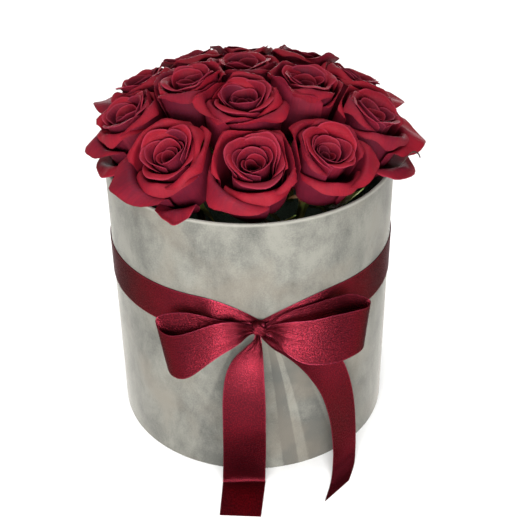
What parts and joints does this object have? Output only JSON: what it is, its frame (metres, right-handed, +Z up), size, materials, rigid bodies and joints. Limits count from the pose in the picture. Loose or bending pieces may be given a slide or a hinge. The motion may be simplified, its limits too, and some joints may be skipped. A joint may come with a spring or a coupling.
{
  "type": "rose box",
  "caption": "Round velvet hat box filled with red roses in floral foam, tied with a satin ribbon and a bow with two tails.",
  "frame": {"origin": "centre of the box's flat underside, on the surface that it stands on", "axes": "+Z up along the box's axis; the bow is on the -Y side and +X is to the right of someone who faces the bow"},
  "size_m": [0.2093, 0.2242, 0.2403],
  "materials": {
    "grey_velvet": "light warm-grey velvet over rigid board, brushed nap",
    "floral_foam": "dark green open-cell floral foam",
    "rose_petal": "living rose petal, deep red, soft sheen",
    "rose_stem": "living green stem, sepals and leaves",
    "burgundy_satin": "burgundy satin ribbon"
  },
  "bodies": {
    "root": {"box": "grey_velvet", "foam": "floral_foam", "bloom_front": "rose_petal", "bloom_front_left": "rose_petal", "bloom_front_right": "rose_petal", "bloom_left": "rose_petal", "bloom_right": "rose_petal", "bloom_back_left": "rose_petal", "bloom_back_right": "rose_petal", "bloom_rear_left": "rose_petal", "bloom_rear_right": "rose_petal", "bloom_rear": "rose_petal", "bloom_inner_front": "rose_petal", "bloom_inner_right": "rose_petal", "bloom_inner_left": "rose_petal", "bloom_inner_rear": "rose_petal", "stem_front": "rose_stem", "stem_front_left": "rose_stem", "stem_front_right": "rose_stem", "stem_left": "rose_stem", "stem_right": "rose_stem", "stem_back_left": "rose_stem", "stem_back_right": "rose_stem", "stem_rear_left": "rose_stem", "stem_rear_right": "rose_stem", "stem_rear": "rose_stem", "stem_inner_front": "rose_stem", "stem_inner_right": "rose_stem", "stem_inner_left": "rose_stem", "stem_inner_rear": "rose_stem", "ribbon_band": "burgundy_satin", "bow_knot": "burgundy_satin", "bow_loop_left": "burgundy_satin", "bow_loop_right": "burgundy_satin", "bow_tail_left": "burgundy_satin", "bow_tail_right": "burgundy_satin"}
  },
  "joints": []
}
